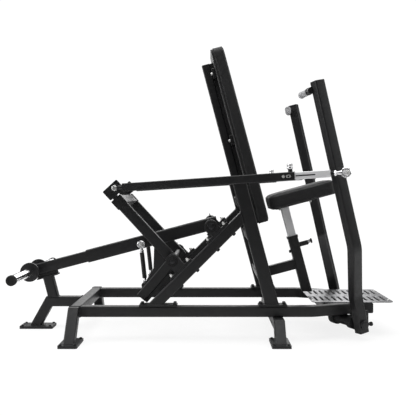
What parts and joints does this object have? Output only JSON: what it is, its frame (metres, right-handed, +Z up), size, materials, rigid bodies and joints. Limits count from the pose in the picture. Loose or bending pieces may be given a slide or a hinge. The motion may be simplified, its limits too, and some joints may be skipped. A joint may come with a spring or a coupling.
{
  "type": "seated lever press machine",
  "caption": "Plate-loaded gym press machine with a leaning back pad and seat, forward-swinging side levers, bell-crank rocker, tie rods and a lifting weight arm.",
  "frame": {"origin": "on the floor, under the middle of the machine's bounding box", "axes": "+X forwards, the way the user faces; +Y to the user's left; +Z up"},
  "size_m": [2.212, 1.2272, 1.7012],
  "materials": {
    "frame_paint": "satin black powder coat",
    "pad_vinyl": "matte black upholstery vinyl with fine grain",
    "black_rubber": "matte",
    "chrome": "bright plated",
    "treadplate": "satin silver",
    "grip_rubber": "light grey, matte",
    "cast_iron": "black painted casting"
  },
  "bodies": {
    "root": {"arm_bearing_left": "cast_iron", "arm_bearing_right": "cast_iron", "arm_stop_pad": "black_rubber", "arm_stop_post": "frame_paint", "back_board": "pad_vinyl", "back_pad": "pad_vinyl", "back_spine": "frame_paint", "base_rail_left": "frame_paint", "base_rail_right": "frame_paint", "bearing_plate": "frame_paint", "footplate": "treadplate", "front_cross_beam": "frame_paint", "front_cross_tube": "frame_paint", "front_leg_left": "frame_paint", "front_leg_right": "frame_paint", "lever_bearing_left": "cast_iron", "lever_bearing_right": "cast_iron", "lower_cross_tube": "frame_paint", "middle_cross_tube": "frame_paint", "rear_cross_tube": "frame_paint", "rear_leg_left": "frame_paint", "rear_leg_right": "frame_paint", "rear_stand": "frame_paint", "rocker_bearing_left": "cast_iron", "rocker_bearing_right": "cast_iron", "seat_brace": "frame_paint", "seat_guide_tube": "frame_paint", "seat_support_tube": "frame_paint", "strut_left": "frame_paint", "strut_right": "frame_paint", "upper_cross_tube_left": "frame_paint", "upper_cross_tube_right": "frame_paint", "upright_left": "frame_paint", "upright_right": "frame_paint"},
    "rocker": {"rocker_arm_right": "frame_paint", "rocker_arm_left": "frame_paint", "rocker_cross_tube": "frame_paint", "rocker_shaft": "chrome"},
    "weight_arm": {"weight_arm": "frame_paint", "arm_shaft": "chrome", "weight_horn_right": "frame_paint", "weight_horn_left": "frame_paint", "weight_sleeve_right": "chrome", "weight_sleeve_left": "chrome"},
    "seat": {"seat_post": "chrome", "seat_pad": "pad_vinyl"},
    "seat_pin": {"seat_pop_pin": "chrome"},
    "push_rod_right": {"push_rod_right": "frame_paint"},
    "lever_right": {"lever_right": "frame_paint", "grip_right": "grip_rubber"},
    "tie_rod_right": {"tie_rod_tube_right": "frame_paint", "tie_rod_bar_right": "chrome"},
    "tie_pin_right": {"tie_pop_pin_right": "chrome"},
    "push_rod_left": {"push_rod_left": "frame_paint"},
    "lever_left": {"lever_left": "frame_paint", "grip_left": "grip_rubber"},
    "tie_rod_left": {"tie_rod_tube_left": "frame_paint", "tie_rod_bar_left": "chrome"},
    "tie_pin_left": {"tie_pop_pin_left": "chrome"}
  },
  "joints": [
    {"name": "rocker_turn", "type": "hinge", "parent": "root", "child": "rocker", "pos_m": [-0.1635, 0, 0.44], "axis": [0, 1, 0], "range_deg": [0, 35]},
    {"name": "weight_arm_lift", "type": "hinge", "parent": "root", "child": "weight_arm", "pos_m": [0.052, 0, 0.632], "axis": [0, 1, 0], "range_deg": [0, 16.91]},
    {"name": "lever_right_press", "type": "hinge", "parent": "root", "child": "lever_right", "pos_m": [0.891, -0.345, 0.088], "axis": [-0.4067, 0.9135, 0], "range_deg": [0, 23]},
    {"name": "push_rod_right_swing", "type": "hinge", "parent": "rocker", "child": "push_rod_right", "pos_m": [-0.331, -0.2, 0.294], "axis": [0, 1, 0], "range_deg": [-25.3, 0]},
    {"name": "tie_rod_right_swing", "type": "hinge", "parent": "rocker", "child": "tie_rod_right", "pos_m": [-0.49, -0.34, 0.85], "axis": [0.0267, 0.9778, -0.2078], "range_deg": [-31.6, 0]},
    {"name": "tie_pin_right_pull", "type": "slide", "parent": "tie_rod_right", "child": "tie_pin_right", "axis": [-0.0646, 0, 0.9979], "range_m": [0, 0.01], "stiffness_N_per_m": 900},
    {"name": "lever_left_press", "type": "hinge", "parent": "root", "child": "lever_left", "pos_m": [0.891, 0.345, 0.088], "axis": [0.4067, 0.9135, 0], "range_deg": [0, 23]},
    {"name": "push_rod_left_swing", "type": "hinge", "parent": "rocker", "child": "push_rod_left", "pos_m": [-0.331, 0.2, 0.294], "axis": [0, 1, 0], "range_deg": [-25.3, 0]},
    {"name": "tie_rod_left_swing", "type": "hinge", "parent": "rocker", "child": "tie_rod_left", "pos_m": [-0.49, 0.34, 0.85], "axis": [-0.0267, 0.9778, 0.2078], "range_deg": [-31.6, 0]},
    {"name": "tie_pin_left_pull", "type": "slide", "parent": "tie_rod_left", "child": "tie_pin_left", "axis": [-0.0646, 0, 0.9979], "range_m": [0, 0.01], "stiffness_N_per_m": 900},
    {"name": "seat_height", "type": "slide", "parent": "root", "child": "seat", "axis": [-0.2571, 0, 0.9664], "range_m": [-0.14, 0.06]},
    {"name": "seat_pin_pull", "type": "slide", "parent": "root", "child": "seat_pin", "axis": [0.9664, 0, 0.2571], "range_m": [0, 0.012], "stiffness_N_per_m": 900}
  ],
  "couplings": [
    {"joint": "weight_arm_lift", "follows": "rocker_turn", "ratio": 0.48302},
    {"joint": "lever_right_press", "follows": "rocker_turn", "ratio": 0.65686},
    {"joint": "push_rod_right_swing", "follows": "rocker_turn", "ratio": -0.72099},
    {"joint": "tie_rod_right_swing", "follows": "rocker_turn", "ratio": -0.90073},
    {"joint": "lever_left_press", "follows": "rocker_turn", "ratio": 0.65686},
    {"joint": "push_rod_left_swing", "follows": "rocker_turn", "ratio": -0.72099},
    {"joint": "tie_rod_left_swing", "follows": "rocker_turn", "ratio": -0.90073}
  ]
}
